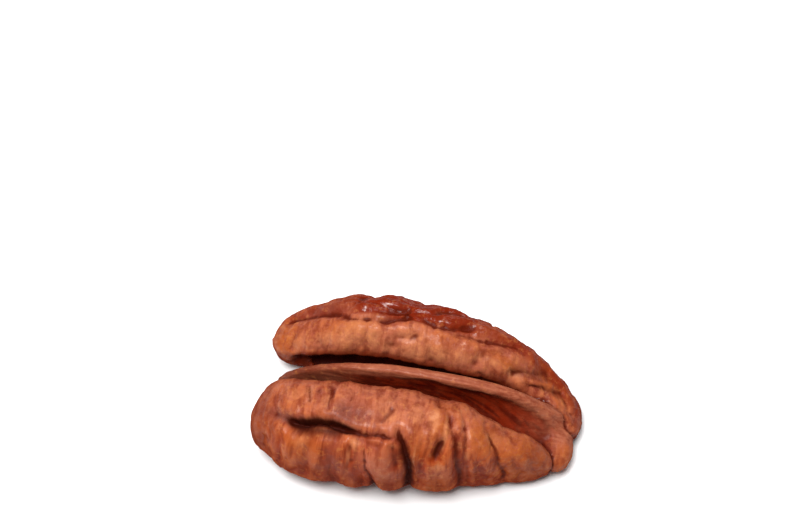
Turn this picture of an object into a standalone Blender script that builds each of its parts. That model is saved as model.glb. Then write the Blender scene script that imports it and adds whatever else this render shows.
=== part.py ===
"""A shelled pecan half, lying on its flat inner side with its ridged outer side up.

The kernel half grew as one piece, so it is one closed body. X runs along the kernel, from the
tip at -X to the stem end at +X. The near lobe is on the -Y side and the far lobe on the +Y side,
with the middle ridge between them and a deep groove on each side of the ridge. The forms are
laid out in millimetres and the finished mesh is scaled to metres, +Z up. The origin is under
the middle of the kernel, in the plane it rests on.
"""
import math

import bmesh
import bpy
import numpy as np
from mathutils import Matrix

MM = 0.001

# Each lobe is a row of rounded sections along X. A row of a table is one section, in mm:
# x, distance of its inner side from the middle plane, distance of its outer side, underside, crest.
NEAR_LOBE = np.array([
    (-15.4, 5.3, 5.3, 3.9, 3.9),
    (-13.9, 1.8, 7.9, 1.2, 7.1),
    (-11.3, 1.4, 9.65, 0.2, 9.1),
    (-6.7, 1.35, 10.5, -0.2, 10.4),
    (-1.2, 1.35, 10.35, -0.2, 10.6),
    (4.4, 1.6, 9.15, -0.2, 9.9),
    (9.0, 2.7, 7.4, 0.0, 7.4),
    (11.5, 2.9, 6.5, 0.2, 6.0),
    (13.3, 3.2, 5.6, 0.4, 4.1),
    (14.5, 4.3, 4.3, 1.7, 1.7)])
FAR_LOBE = np.array([
    (-15.1, 4.0, 4.0, 3.0, 3.0),
    (-13.8, 2.2, 6.5, 1.0, 5.0),
    (-11.0, 1.9, 7.8, 0.2, 7.0),
    (-5.0, 1.9, 8.8, -0.2, 9.5),
    (2.0, 1.7, 8.6, -0.2, 9.3),
    (7.0, 1.75, 7.5, 0.0, 8.2),
    (11.0, 1.4, 6.1, 0.2, 6.4),
    (14.0, 0.1, 4.3, 0.2, 4.4),
    (15.5, -1.2, 3.0, 0.3, 3.1),
    (16.4, 0.6, 0.6, 1.5, 1.5)])
LOBE_SQUARENESS = 2.5

# The middle ridge: x, crest height, half width at the crest, half width at the foot on the near
# side, half width at the foot on the far side, foot height, hollowness of its sides.
RIDGE = np.array([
    (-13.8, 2.7, 0.2, 0.3, 0.3, 2.4, 1.5),
    (-12.8, 4.1, 0.45, 0.7, 0.7, 2.2, 1.5),
    (-9.5, 6.5, 0.7, 1.0, 1.0, 2.0, 1.5),
    (-5.5, 7.9, 0.85, 1.2, 1.1, 2.0, 1.5),
    (-1.6, 8.4, 0.95, 1.5, 1.15, 2.0, 1.6),
    (4.4, 8.1, 1.05, 3.0, 1.35, 2.0, 2.6),
    (7.4, 7.6, 1.05, 4.2, 1.6, 1.8, 2.4),
    (10.4, 6.5, 0.9, 4.8, 2.0, 1.4, 1.7),
    (12.6, 5.1, 0.75, 4.9, 1.6, 1.0, 1.3),
    (14.0, 4.2, 0.5, 4.5, 1.2, 0.7, 0.9),
    (15.0, 3.0, 0.35, 3.4, 0.8, 0.8, 0.8),
    (15.3, 1.9, 0.2, 1.4, 0.3, 1.2, 0.8)])
RIDGE_SQUARENESS = 3.4
NEAR_CREST_SHARE = 0.45

# The web joins the lobes under the ridge: its two opposite corners.
WEB_LOW = (-12.6, -3.2, 1.2)
WEB_HIGH = (14.6, 3.2, 3.9)
WEB_SQUARENESS = 2.3

# The stem cap closes the stem end below the ridge: its middle and its half sizes.
CAP_MIDDLE = np.array((14.3, -2.5, 1.7))
CAP_HALF_SIZE = np.array((1.9, 2.7, 1.7))
CAP_SQUARENESS = 2.2

# Creases pressed into the lobes: depth, width, share of the length that fades out at each end,
# then points of x and the angle round the lobe (0 outwards, 90 at the crest, 180 inwards).
NEAR_CREASES = [
    (1.7, 0.85, 0.18, [(-13.6, 76), (-11.6, 73), (-8.5, 69), (-5.1, 65), (-1.8, 65), (-0.7, 62)]),
    (0.85, 0.6, 0.10, [(-1.4, 64), (0.0, 56), (0.6, 45), (0.9, 27), (0.9, -50)]),
    (0.45, 0.5, 0.15, [(-4.5, 62), (-4.2, 46), (-4.4, 8), (-4.4, -30)]),
    (0.50, 0.5, 0.12, [(-2.5, 62), (-2.6, 43), (-2.8, 21), (-2.6, -50)]),
    (0.75, 0.6, 0.30, [(3.7, 68), (3.4, 58), (3.0, 43), (2.9, 30)]),
    (0.60, 0.6, 0.20, [(3.0, 150), (3.6, 116), (4.8, 55), (5.3, 24), (5.5, -30)]),
    (0.35, 0.6, 0.25, [(7.4, 130), (8.0, 99), (9.2, 36), (9.8, -40)])]
FAR_CREASES = [
    (0.75, 0.8, 0.20, [(-10.7, 74), (-7.3, 100), (-3.4, 102), (0.7, 112), (5.5, 107), (9.4, 85)]),
    (0.45, 0.5, 0.20, [(-0.4, 102), (-1.4, 117), (-2.6, 127), (-3.2, 140), (-3.2, 160)]),
    (0.45, 0.6, 0.25, [(-0.6, 88), (0.6, 102), (2.0, 101), (3.6, 85), (4.7, 62)])]
MM_PER_DEGREE = 0.08

# The far lobe's inner wall is hollowed below its roll, beside the ridge.
UNDERCUT_DEPTH = 1.1
UNDERCUT_ANGLES = (159, 169, 192, 215)
UNDERCUT_REACH = (-13.2, -11.2, 2.0, 9.0)

LENGTHWISE_STEPS = 96
AROUND_STEPS = 96
FUSING_GRID = 0.25
TRIANGLES = 8400

SKIN_COLOUR = (0.27, 0.075, 0.024, 1.0)
SKIN_ROUGHNESS = 0.45


def through(x, stations, values):
    """Read a smooth curve that runs through the stations without overshooting them."""
    x = np.clip(x, stations[0], stations[-1])
    i = np.clip(np.searchsorted(stations, x, side="right") - 1, 0, len(stations) - 2)
    step = np.diff(stations)
    rise = np.diff(values) / step
    slope = np.concatenate([rise[:1], np.zeros(len(stations) - 2), rise[-1:]])
    for k in range(1, len(stations) - 1):
        if rise[k - 1] * rise[k] > 0:
            slope[k] = 2 * rise[k - 1] * rise[k] / (rise[k - 1] + rise[k])
    t = (x - stations[i]) / step[i]
    return ((1 + 2 * t) * (1 - t) ** 2 * values[i] + t * (1 - t) ** 2 * step[i] * slope[i]
            + t * t * (3 - 2 * t) * values[i + 1] + t * t * (t - 1) * step[i] * slope[i + 1])


def fade(value, low, high):
    """Rise smoothly from 0 at low to 1 at high."""
    t = np.clip((value - low) / (high - low), 0, 1)
    return t * t * (3 - 2 * t)


def unit_ball(around, lengthwise):
    """A sphere of radius 1 with its poles on X."""
    ball = bmesh.new()
    bmesh.ops.create_uvsphere(ball, u_segments=around, v_segments=lengthwise, radius=1.0)
    turn = Matrix.Rotation(math.radians(90), 3, "Y")
    bmesh.ops.rotate(ball, verts=ball.verts, cent=(0, 0, 0), matrix=turn)
    return ball


def read_ball(ball, squareness):
    """The ball's place along X, and its section's two coordinates on a rounded square."""
    points = np.array([v.co for v in ball.verts])
    radius = np.maximum(np.hypot(points[:, 1], points[:, 2]), 1e-9)
    power = 2 / squareness
    across = points[:, 1] / radius
    up = points[:, 2] / radius
    across = np.sign(across) * np.abs(across) ** power
    up = np.sign(up) * np.abs(up) ** power
    return points[:, 0], across, up


def place(ball, x, y, z):
    """Move the ball's vertices to new coordinates."""
    for vert, point in zip(ball.verts, zip(x, y, z)):
        vert.co = point
    return ball


def lobe_section(x, table):
    """The middle and the half size of a lobe's section at x."""
    at = table[:, 0]
    middle_out = through(x, at, (table[:, 1] + table[:, 2]) / 2)
    middle_up = through(x, at, (table[:, 3] + table[:, 4]) / 2)
    half_out = through(x, at, ((table[:, 2] - table[:, 1]) / 2) ** 2)
    half_up = through(x, at, ((table[:, 4] - table[:, 3]) / 2) ** 2)
    return middle_out, middle_up, np.sqrt(np.maximum(half_out, 0)), np.sqrt(np.maximum(half_up, 0))


def lobe(side, table):
    """One lobe: a ball stretched over its table of sections."""
    ball = unit_ball(AROUND_STEPS, LENGTHWISE_STEPS)
    along, across, up = read_ball(ball, LOBE_SQUARENESS)
    x = table[0, 0] + (table[-1, 0] - table[0, 0]) * (along + 1) / 2
    middle_out, middle_up, half_out, half_up = lobe_section(x, table)
    return place(ball, x, side * (middle_out + half_out * across), middle_up + half_up * up)


def ridge():
    """The middle ridge: narrow at its crest, with hollow sides that run out to its foot."""
    ball = unit_ball(AROUND_STEPS, LENGTHWISE_STEPS)
    along, across, up = read_ball(ball, RIDGE_SQUARENESS)
    x = RIDGE[0, 0] + (RIDGE[-1, 0] - RIDGE[0, 0]) * (along + 1) / 2
    crest, at_crest, near_foot, far_foot, foot, hollow = (
        through(x, RIDGE[:, 0], RIDGE[:, column]) for column in range(1, 7))
    height = (up + 1) / 2
    at_crest = np.where(across < 0, NEAR_CREST_SHARE * at_crest, at_crest)
    at_foot = np.where(across < 0, near_foot, far_foot)
    half_width = at_crest + (at_foot - at_crest) * (1 - height) ** hollow
    return place(ball, x, half_width * across, foot + (crest - foot) * height)


def web():
    """The web under the ridge, a bar with blunt, rounded ends."""
    ball = unit_ball(48, 48)
    along, across, up = read_ball(ball, WEB_SQUARENESS)
    low = np.array(WEB_LOW)
    high = np.array(WEB_HIGH)
    middle = (low + high) / 2
    half = (high - low) / 2
    full = np.abs(1 - np.abs(along) ** WEB_SQUARENESS) ** (1 / WEB_SQUARENESS)
    return place(ball, middle[0] + half[0] * along, middle[1] + half[1] * full * across,
                 middle[2] + half[2] * full * up)


def stem_cap():
    """The rounded cap at the stem end."""
    ball = unit_ball(48, 48)
    points = np.array([v.co for v in ball.verts])
    points = CAP_MIDDLE + CAP_HALF_SIZE * np.sign(points) * np.abs(points) ** (2 / CAP_SQUARENESS)
    return place(ball, *points.T)


def evaluated(kernel):
    """The kernel's mesh with its modifiers applied, which then replaces its mesh."""
    graph = bpy.context.evaluated_depsgraph_get()
    mesh = bpy.data.meshes.new_from_object(kernel.evaluated_get(graph))
    kernel.modifiers.clear()
    kernel.data = mesh
    return mesh


def fuse(kernel, forms):
    """Grow the separate forms into one closed skin."""
    whole = bmesh.new()
    for form in forms:
        bmesh.ops.recalc_face_normals(form, faces=form.faces)
        piece = bpy.data.meshes.new("form")
        form.to_mesh(piece)
        whole.from_mesh(piece)
        form.free()
        bpy.data.meshes.remove(piece)
    whole.to_mesh(kernel.data)
    whole.free()
    skin = kernel.modifiers.new("one skin", "REMESH")
    skin.mode = "VOXEL"
    skin.voxel_size = FUSING_GRID
    skin.adaptivity = 0.0
    evaluated(kernel)


def round_lobe(points, side, table):
    """How far out of a lobe each point is (1 on its skin), and its angle round the lobe."""
    x = np.clip(points[:, 0], table[0, 0] + 0.3, table[-1, 0] - 0.3)
    middle_out, middle_up, half_out, half_up = lobe_section(x, table)
    out = (side * points[:, 1] - middle_out) / np.maximum(half_out, 0.45)
    up = (points[:, 2] - middle_up) / np.maximum(half_up, 0.45)
    far = (np.abs(out) ** LOBE_SQUARENESS + np.abs(up) ** LOBE_SQUARENESS) ** (1 / LOBE_SQUARENESS)
    return far, np.degrees(np.arctan2(up, out))


def crease(x, angle, depth, width, taper, route):
    """Depth of one crease at every point, from the point's distance to the crease's route."""
    across = angle * MM_PER_DEGREE
    route = np.array(route, float)
    knots = np.arange(len(route), dtype=float)
    fine = np.linspace(0, len(route) - 1, (len(route) - 1) * 6 + 1)
    line = np.column_stack([through(fine, knots, route[:, 0]),
                            through(fine, knots, route[:, 1] * MM_PER_DEGREE)])
    lengths = np.linalg.norm(np.diff(line, axis=0), axis=1)
    run = np.concatenate([[0], np.cumsum(lengths)]) / lengths.sum()
    nearest = np.full(len(x), 1e3)
    where = np.zeros(len(x))
    for k in range(len(line) - 1):
        ahead = line[k + 1] - line[k]
        offset = np.column_stack([x, across]) - line[k]
        share = np.clip(offset @ ahead / (ahead @ ahead), 0, 1)
        distance = np.linalg.norm(offset - share[:, None] * ahead, axis=1)
        closer = distance < nearest
        nearest[closer] = distance[closer]
        where[closer] = run[k] + share[closer] * (run[k + 1] - run[k])
    ends = 0.15 + 0.85 * fade(where, 0, taper) * fade(1 - where, 0, taper)
    reach = nearest / width
    return depth * ends * (0.5 * np.exp(-reach) + 0.5 * np.exp(-(reach / 0.45) ** 2))


def undercut(x, angle):
    """Depth of the hollow under the far lobe's inner roll."""
    angle = np.where(angle < -90, angle + 360, angle)
    start, full, ease, end = UNDERCUT_ANGLES
    first, whole, fading, last = UNDERCUT_REACH
    return (UNDERCUT_DEPTH * fade(angle, start, full) * (1 - fade(angle, ease, end))
            * fade(x, first, whole) * (1 - fade(x, fading, last)))


def press_creases(mesh):
    """Sink the creases into both lobes, along the skin's own normals."""
    points = np.array([v.co for v in mesh.vertices])
    normals = np.array([v.normal for v in mesh.vertices])
    depth = np.zeros(len(points))
    for side, table, creases in ((-1, NEAR_LOBE, NEAR_CREASES), (1, FAR_LOBE, FAR_CREASES)):
        far, angle = round_lobe(points, side, table)
        on_lobe = 1 - fade(far, 1.04, 1.10)
        for how_deep, width, taper, route in creases:
            sunk = crease(points[:, 0], angle, how_deep, width, taper, route)
            depth = np.maximum(depth, on_lobe * sunk)
        if side > 0:
            depth = np.maximum(depth, on_lobe * undercut(points[:, 0], angle))
    mesh.vertices.foreach_set("co", (points - normals * depth[:, None]).ravel())
    mesh.update()


def lighten(kernel):
    """Thin the dense skin to the wanted number of triangles."""
    mesh = kernel.data
    triangles = sum(len(face.vertices) - 2 for face in mesh.polygons)
    thin = kernel.modifiers.new("thin", "DECIMATE")
    thin.ratio = TRIANGLES / triangles
    thin.use_collapse_triangulate = True
    evaluated(kernel)


def finish_underside(kernel):
    """Cut the resting flats at height 0, close them, centre the kernel and scale it to metres."""
    body = bmesh.new()
    body.from_mesh(kernel.data)
    everything = body.verts[:] + body.edges[:] + body.faces[:]
    cut = bmesh.ops.bisect_plane(body, geom=everything, plane_co=(0, 0, 0), plane_no=(0, 0, 1),
                                 dist=0.001, clear_inner=True)
    rim = [part for part in cut["geom_cut"] if isinstance(part, bmesh.types.BMEdge)]
    for vert in {vert for edge in rim for vert in edge.verts}:
        vert.co.z = 0.0
    bmesh.ops.holes_fill(body, edges=rim, sides=0)
    bmesh.ops.remove_doubles(body, verts=body.verts, dist=0.001)
    bmesh.ops.recalc_face_normals(body, faces=body.faces)
    places = np.array([v.co for v in body.verts])
    middle = (places.min(axis=0) + places.max(axis=0)) / 2
    bmesh.ops.translate(body, vec=(-middle[0], -middle[1], 0), verts=body.verts)
    bmesh.ops.scale(body, vec=(MM, MM, MM), verts=body.verts)
    body.to_mesh(kernel.data)
    body.free()
    kernel.data.shade_smooth()


def skin_material():
    """The brown skin."""
    material = bpy.data.materials.new("kernel_skin")
    material.use_nodes = True
    shader = material.node_tree.nodes["Principled BSDF"]
    shader.inputs["Base Color"].default_value = SKIN_COLOUR
    shader.inputs["Roughness"].default_value = SKIN_ROUGHNESS
    shader.inputs["Metallic"].default_value = 0.0
    return material


def main():
    for thing in list(bpy.data.objects):
        bpy.data.objects.remove(thing)
    group = bpy.data.collections.new("shelled_pecan_half")
    bpy.context.scene.collection.children.link(group)
    kernel = bpy.data.objects.new("pecan_half", bpy.data.meshes.new("pecan_half"))
    group.objects.link(kernel)
    fuse(kernel, [lobe(-1, NEAR_LOBE), lobe(1, FAR_LOBE), ridge(), web(), stem_cap()])
    press_creases(kernel.data)
    lighten(kernel)
    finish_underside(kernel)
    kernel.data.name = "pecan_half"
    kernel.data.materials.clear()
    kernel.data.materials.append(skin_material())


main()
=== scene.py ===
# %% [markdown]
# # A shelled pecan half, finished in Blender
#
# One half of a pecan kernel lies on its flat inner side. From above it shows two long wrinkled
# lobes and a ridge between them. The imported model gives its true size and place, and this
# lesson grows a finer skin over the same forms, wrinkles it, and colours it.

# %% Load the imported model
import math

import bmesh
import bpy
import numpy as np
from mathutils import Matrix, Vector, noise


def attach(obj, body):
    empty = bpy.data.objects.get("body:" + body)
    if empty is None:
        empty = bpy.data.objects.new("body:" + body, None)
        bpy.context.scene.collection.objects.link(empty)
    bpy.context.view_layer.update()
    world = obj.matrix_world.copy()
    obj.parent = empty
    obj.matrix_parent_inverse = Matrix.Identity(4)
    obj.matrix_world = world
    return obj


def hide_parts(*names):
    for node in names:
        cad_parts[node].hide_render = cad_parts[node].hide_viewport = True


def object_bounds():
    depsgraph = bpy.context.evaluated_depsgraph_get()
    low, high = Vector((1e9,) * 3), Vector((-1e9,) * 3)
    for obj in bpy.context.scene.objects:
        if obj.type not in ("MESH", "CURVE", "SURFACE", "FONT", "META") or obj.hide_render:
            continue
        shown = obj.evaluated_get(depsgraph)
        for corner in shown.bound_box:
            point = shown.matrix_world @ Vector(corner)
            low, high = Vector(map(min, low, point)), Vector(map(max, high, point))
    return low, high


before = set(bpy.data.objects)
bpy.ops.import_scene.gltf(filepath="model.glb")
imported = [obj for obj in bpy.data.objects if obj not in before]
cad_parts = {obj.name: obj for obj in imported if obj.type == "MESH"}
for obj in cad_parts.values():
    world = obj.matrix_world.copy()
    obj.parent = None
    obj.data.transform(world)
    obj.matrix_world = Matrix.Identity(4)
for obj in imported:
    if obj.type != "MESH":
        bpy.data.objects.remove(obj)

packed_low, packed_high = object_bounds()
packed_size = [high - low for low, high in zip(packed_low, packed_high)]
print("packed size in mm:", [round(side * 1000, 2) for side in packed_size])

# %% [markdown]
# ## Reading a smooth curve through a few stations
#
# A nut has no straight lines, but a few well chosen sections describe it. A hand-drawn curve
# through those sections must not swing past them, or the nut gets bumps it never had. This
# helper is a cubic curve whose slopes are held down, so it stays between its stations.
# A second helper is a soft step, which fades one thing into another without an edge.

# %% Curve helpers
MM = 0.001


def through(x, stations, values):
    """Read a smooth curve that runs through the stations without overshooting them."""
    x = np.clip(x, stations[0], stations[-1])
    i = np.clip(np.searchsorted(stations, x, side="right") - 1, 0, len(stations) - 2)
    step = np.diff(stations)
    rise = np.diff(values) / step
    slope = np.concatenate([rise[:1], np.zeros(len(stations) - 2), rise[-1:]])
    for k in range(1, len(stations) - 1):
        if rise[k - 1] * rise[k] > 0:
            slope[k] = 2 * rise[k - 1] * rise[k] / (rise[k - 1] + rise[k])
    t = (x - stations[i]) / step[i]
    return ((1 + 2 * t) * (1 - t) ** 2 * values[i] + t * (1 - t) ** 2 * step[i] * slope[i]
            + t * t * (3 - 2 * t) * values[i + 1] + t * t * (t - 1) * step[i] * slope[i + 1])


def fade(value, low, high):
    """Rise smoothly from 0 at low to 1 at high."""
    t = np.clip((value - low) / (high - low), 0, 1)
    return t * t * (3 - 2 * t)


print("halfway up a soft step:", round(float(fade(0.5, 0, 1)), 2))

# %% [markdown]
# ## The two lobes
#
# Each lobe is a seed leaf, folded long and fat. It could be sculpted by hand, but then it could
# not be made again to the same size. Here a UV sphere with its poles on X is stretched over a
# table of sections: how far in and out of the middle plane the lobe reaches, and how low and
# high. The sections are a little squarer than circles, because the lobes press on the shell.
# All forms are laid out in millimetres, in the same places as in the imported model.

# %% Lobe sections and the stretched ball
# x, inner side, outer side, underside, crest
NEAR_LOBE = np.array([
    (-15.4, 5.3, 5.3, 3.9, 3.9),
    (-13.9, 1.8, 7.9, 1.2, 7.1),
    (-11.3, 1.4, 9.65, 0.2, 9.1),
    (-6.7, 1.35, 10.5, -0.2, 10.4),
    (-1.2, 1.35, 10.35, -0.2, 10.6),
    (4.4, 1.6, 9.15, -0.2, 9.9),
    (9.0, 2.7, 7.4, 0.0, 7.4),
    (11.5, 2.9, 6.5, 0.2, 6.0),
    (13.3, 3.2, 5.6, 0.4, 4.1),
    (14.5, 4.3, 4.3, 1.7, 1.7)])
FAR_LOBE = np.array([
    (-15.1, 4.0, 4.0, 3.0, 3.0),
    (-13.8, 2.2, 6.5, 1.0, 5.0),
    (-11.0, 1.9, 7.8, 0.2, 7.0),
    (-5.0, 1.9, 8.8, -0.2, 9.5),
    (2.0, 1.7, 8.6, -0.2, 9.3),
    (7.0, 1.75, 7.5, 0.0, 8.2),
    (11.0, 1.4, 6.1, 0.2, 6.4),
    (14.0, 0.1, 4.3, 0.2, 4.4),
    (15.5, -1.2, 3.0, 0.3, 3.1),
    (16.4, 0.6, 0.6, 1.5, 1.5)])
LOBE_SQUARENESS = 2.5
LARGE_BALL, SMALL_BALL = 96, 48   # faces round and along a ball


def unit_ball(faces):
    """A sphere of radius 1 with its poles on X."""
    ball = bmesh.new()
    bmesh.ops.create_uvsphere(ball, u_segments=faces, v_segments=faces, radius=1.0)
    turn = Matrix.Rotation(math.radians(90), 3, "Y")
    bmesh.ops.rotate(ball, verts=ball.verts, cent=(0, 0, 0), matrix=turn)
    return ball


def read_ball(ball, squareness):
    """The ball's place along X, and its section's two coordinates on a rounded square."""
    points = np.array([v.co for v in ball.verts])
    radius = np.maximum(np.hypot(points[:, 1], points[:, 2]), 1e-9)
    power = 2 / squareness
    across = points[:, 1] / radius
    up = points[:, 2] / radius
    across = np.sign(across) * np.abs(across) ** power
    up = np.sign(up) * np.abs(up) ** power
    return points[:, 0], across, up


def place(ball, x, y, z):
    """Move the ball's vertices to new coordinates."""
    for vert, point in zip(ball.verts, zip(x, y, z)):
        vert.co = point
    return ball


def lobe_section(x, table):
    """The middle and the half size of a lobe's section at x."""
    at = table[:, 0]
    middle_out = through(x, at, (table[:, 1] + table[:, 2]) / 2)
    middle_up = through(x, at, (table[:, 3] + table[:, 4]) / 2)
    half_out = through(x, at, ((table[:, 2] - table[:, 1]) / 2) ** 2)
    half_up = through(x, at, ((table[:, 4] - table[:, 3]) / 2) ** 2)
    return middle_out, middle_up, np.sqrt(np.maximum(half_out, 0)), np.sqrt(np.maximum(half_up, 0))


def lobe(side, table):
    """One lobe: a ball stretched over its table of sections."""
    ball = unit_ball(LARGE_BALL)
    along, across, up = read_ball(ball, LOBE_SQUARENESS)
    x = table[0, 0] + (table[-1, 0] - table[0, 0]) * (along + 1) / 2
    middle_out, middle_up, half_out, half_up = lobe_section(x, table)
    return place(ball, x, side * (middle_out + half_out * across), middle_up + half_up * up)


forms = [lobe(-1, NEAR_LOBE), lobe(1, FAR_LOBE)]
print("lobes, vertices each:", [len(form.verts) for form in forms])

# %% [markdown]
# ## The ridge, the web and the stem cap
#
# The ridge holds the germ and runs down the middle, with a deep groove on each side. Its crest
# is narrow and its sides are hollow, and towards the stem end its near side flares into a slope
# that wraps round the end of the near lobe. The web under it ties the lobes together, and the
# cap closes the stem end. A rounded box would look like a block here, so each of them is again
# a ball that is stretched by its own small rule.

# %% Ridge, web and cap
# x, crest height, half width at the crest, near and far half widths at the foot, foot, hollowness
RIDGE = np.array([
    (-13.8, 2.7, 0.2, 0.3, 0.3, 2.4, 1.5),
    (-12.8, 4.1, 0.45, 0.7, 0.7, 2.2, 1.5),
    (-9.5, 6.5, 0.7, 1.0, 1.0, 2.0, 1.5),
    (-5.5, 7.9, 0.85, 1.2, 1.1, 2.0, 1.5),
    (-1.6, 8.4, 0.95, 1.5, 1.15, 2.0, 1.6),
    (4.4, 8.1, 1.05, 3.0, 1.35, 2.0, 2.6),
    (7.4, 7.6, 1.05, 4.2, 1.6, 1.8, 2.4),
    (10.4, 6.5, 0.9, 4.8, 2.0, 1.4, 1.7),
    (12.6, 5.1, 0.75, 4.9, 1.6, 1.0, 1.3),
    (14.0, 4.2, 0.5, 4.5, 1.2, 0.7, 0.9),
    (15.0, 3.0, 0.35, 3.4, 0.8, 0.8, 0.8),
    (15.3, 1.9, 0.2, 1.4, 0.3, 1.2, 0.8)])
RIDGE_SQUARENESS = 3.4
NEAR_CREST_SHARE = 0.45
WEB_LOW = np.array((-12.6, -3.2, 1.2))
WEB_HIGH = np.array((14.6, 3.2, 3.9))
WEB_SQUARENESS = 2.3
CAP_MIDDLE = np.array((14.3, -2.5, 1.7))
CAP_HALF_SIZE = np.array((1.9, 2.7, 1.7))
CAP_SQUARENESS = 2.2


def ridge():
    """The middle ridge: narrow at its crest, with hollow sides that run out to its foot."""
    ball = unit_ball(LARGE_BALL)
    along, across, up = read_ball(ball, RIDGE_SQUARENESS)
    x = RIDGE[0, 0] + (RIDGE[-1, 0] - RIDGE[0, 0]) * (along + 1) / 2
    crest, at_crest, near_foot, far_foot, foot, hollow = (
        through(x, RIDGE[:, 0], RIDGE[:, column]) for column in range(1, 7))
    height = (up + 1) / 2
    at_crest = np.where(across < 0, NEAR_CREST_SHARE * at_crest, at_crest)
    at_foot = np.where(across < 0, near_foot, far_foot)
    half_width = at_crest + (at_foot - at_crest) * (1 - height) ** hollow
    return place(ball, x, half_width * across, foot + (crest - foot) * height)


def web():
    """The web under the ridge, a bar with blunt, rounded ends."""
    ball = unit_ball(SMALL_BALL)
    along, across, up = read_ball(ball, WEB_SQUARENESS)
    middle = (WEB_LOW + WEB_HIGH) / 2
    half = (WEB_HIGH - WEB_LOW) / 2
    full = np.abs(1 - np.abs(along) ** WEB_SQUARENESS) ** (1 / WEB_SQUARENESS)
    return place(ball, middle[0] + half[0] * along, middle[1] + half[1] * full * across,
                 middle[2] + half[2] * full * up)


def stem_cap():
    """The rounded cap at the stem end."""
    ball = unit_ball(SMALL_BALL)
    points = np.array([v.co for v in ball.verts])
    points = CAP_MIDDLE + CAP_HALF_SIZE * np.sign(points) * np.abs(points) ** (2 / CAP_SQUARENESS)
    return place(ball, *points.T)


forms += [ridge(), web(), stem_cap()]
print("forms laid out:", len(forms))

# %% [markdown]
# ## One skin over all the forms
#
# The real half grew as one body, so the forms may not stay as five meshes that cut through each
# other. A Boolean union would keep every sphere's pattern of faces and leave hard seams. A voxel
# remesh instead shrink-wraps them all in one even grid of small faces, about a sixth of a
# millimetre, which is also what the wrinkles need later.

# %% Fuse the forms
SKIN_GRID = 0.17


def fused_skin(forms):
    """Join the forms and wrap them in one closed, even skin."""
    whole = bmesh.new()
    for form in forms:
        bmesh.ops.recalc_face_normals(form, faces=form.faces)
        piece = bpy.data.meshes.new("form")
        form.to_mesh(piece)
        whole.from_mesh(piece)
        form.free()
        bpy.data.meshes.remove(piece)
    rough = bpy.data.meshes.new("rough")
    whole.to_mesh(rough)
    whole.free()
    skin = bpy.data.objects.new("kernel_skin", rough)
    bpy.context.scene.collection.objects.link(skin)
    wrap = skin.modifiers.new("one skin", "REMESH")
    wrap.mode = "VOXEL"
    wrap.voxel_size = SKIN_GRID
    graph = bpy.context.evaluated_depsgraph_get()
    mesh = bpy.data.meshes.new_from_object(skin.evaluated_get(graph))
    skin.modifiers.clear()
    skin.data = mesh
    bpy.data.meshes.remove(rough)
    return skin


kernel = fused_skin(forms)
print("skin faces:", len(kernel.data.polygons))

# %% [markdown]
# ## Working on the skin as arrays
#
# Wrinkles are made by moving vertices along their normals, a little at a time. Blender can hand
# over all its vertices as one array, and NumPy then moves eighty thousand of them at once.
# `relax` is the sculptor's smooth brush: it pulls each vertex towards the mean of its
# neighbours, and a weight says where the brush is pressed.

# %% Array helpers
edges = np.empty(len(kernel.data.edges) * 2, dtype=np.int32)
kernel.data.edges.foreach_get("vertices", edges)
edges = edges.reshape(-1, 2)
vertex_count = len(kernel.data.vertices)
neighbours = np.bincount(edges.ravel(), minlength=vertex_count)


def read_vectors(what):
    """All vertex places (co) or normals (normal) as one array."""
    values = np.empty(vertex_count * 3)
    kernel.data.vertices.foreach_get(what, values)
    return values.reshape(-1, 3)


def move_to(points):
    """Put every vertex at a new place."""
    kernel.data.vertices.foreach_set("co", points.ravel())
    kernel.data.update()


def mean_of_neighbours(values):
    """For each vertex, the mean of a value over its neighbours."""
    start, end = edges[:, 0], edges[:, 1]
    total = (np.bincount(start, weights=values[end], minlength=vertex_count)
             + np.bincount(end, weights=values[start], minlength=vertex_count))
    return total / neighbours


def blurred(values, passes):
    """Spread a value softly over the skin."""
    for _ in range(passes):
        values = 0.5 * (values + mean_of_neighbours(values))
    return values


def relax(points, passes, weight=1.0):
    """Smooth the skin, as much as the weight says at each vertex."""
    points = points.copy()
    for _ in range(passes):
        for axis in range(3):
            pulled = mean_of_neighbours(points[:, axis])
            points[:, axis] += weight * 0.5 * (pulled - points[:, axis])
    return points


print("vertices:", vertex_count)

# %% [markdown]
# ## Coordinates that follow a lobe
#
# A crease on a nut runs along a lobe or round it, so it is easiest to draw in the lobe's own
# coordinates: x along the kernel, and the angle round the lobe. The angle is 0 on the outer
# side, 90 on the crest and 180 on the inner side, and a degree is about 0.08 mm of skin.
# The same coordinates carry the colour streaks later on.

# %% Lobe coordinates
MM_PER_DEGREE = 0.08
END_MARGIN = 0.3               # mm, because the section shrinks to nothing at a lobe's tip
LEAST_HALF_SIZE = 0.45         # mm
LOBE_EDGE = (1.03, 1.09)       # in half sizes of the section, where a lobe's own skin ends
NEAR_LOBE_END = (14.3, 14.6)   # x in mm, where the near lobe gives way to the cap


def round_lobe(points, side, table):
    """How far out of a lobe each point is (1 on its skin), and its angle round the lobe."""
    x = np.clip(points[:, 0], table[0, 0] + END_MARGIN, table[-1, 0] - END_MARGIN)
    middle_out, middle_up, half_out, half_up = lobe_section(x, table)
    out = (side * points[:, 1] - middle_out) / np.maximum(half_out, LEAST_HALF_SIZE)
    up = (points[:, 2] - middle_up) / np.maximum(half_up, LEAST_HALF_SIZE)
    away = (np.abs(out) ** LOBE_SQUARENESS + np.abs(up) ** LOBE_SQUARENESS) ** (1 / LOBE_SQUARENESS)
    return away, np.degrees(np.arctan2(up, out))


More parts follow.
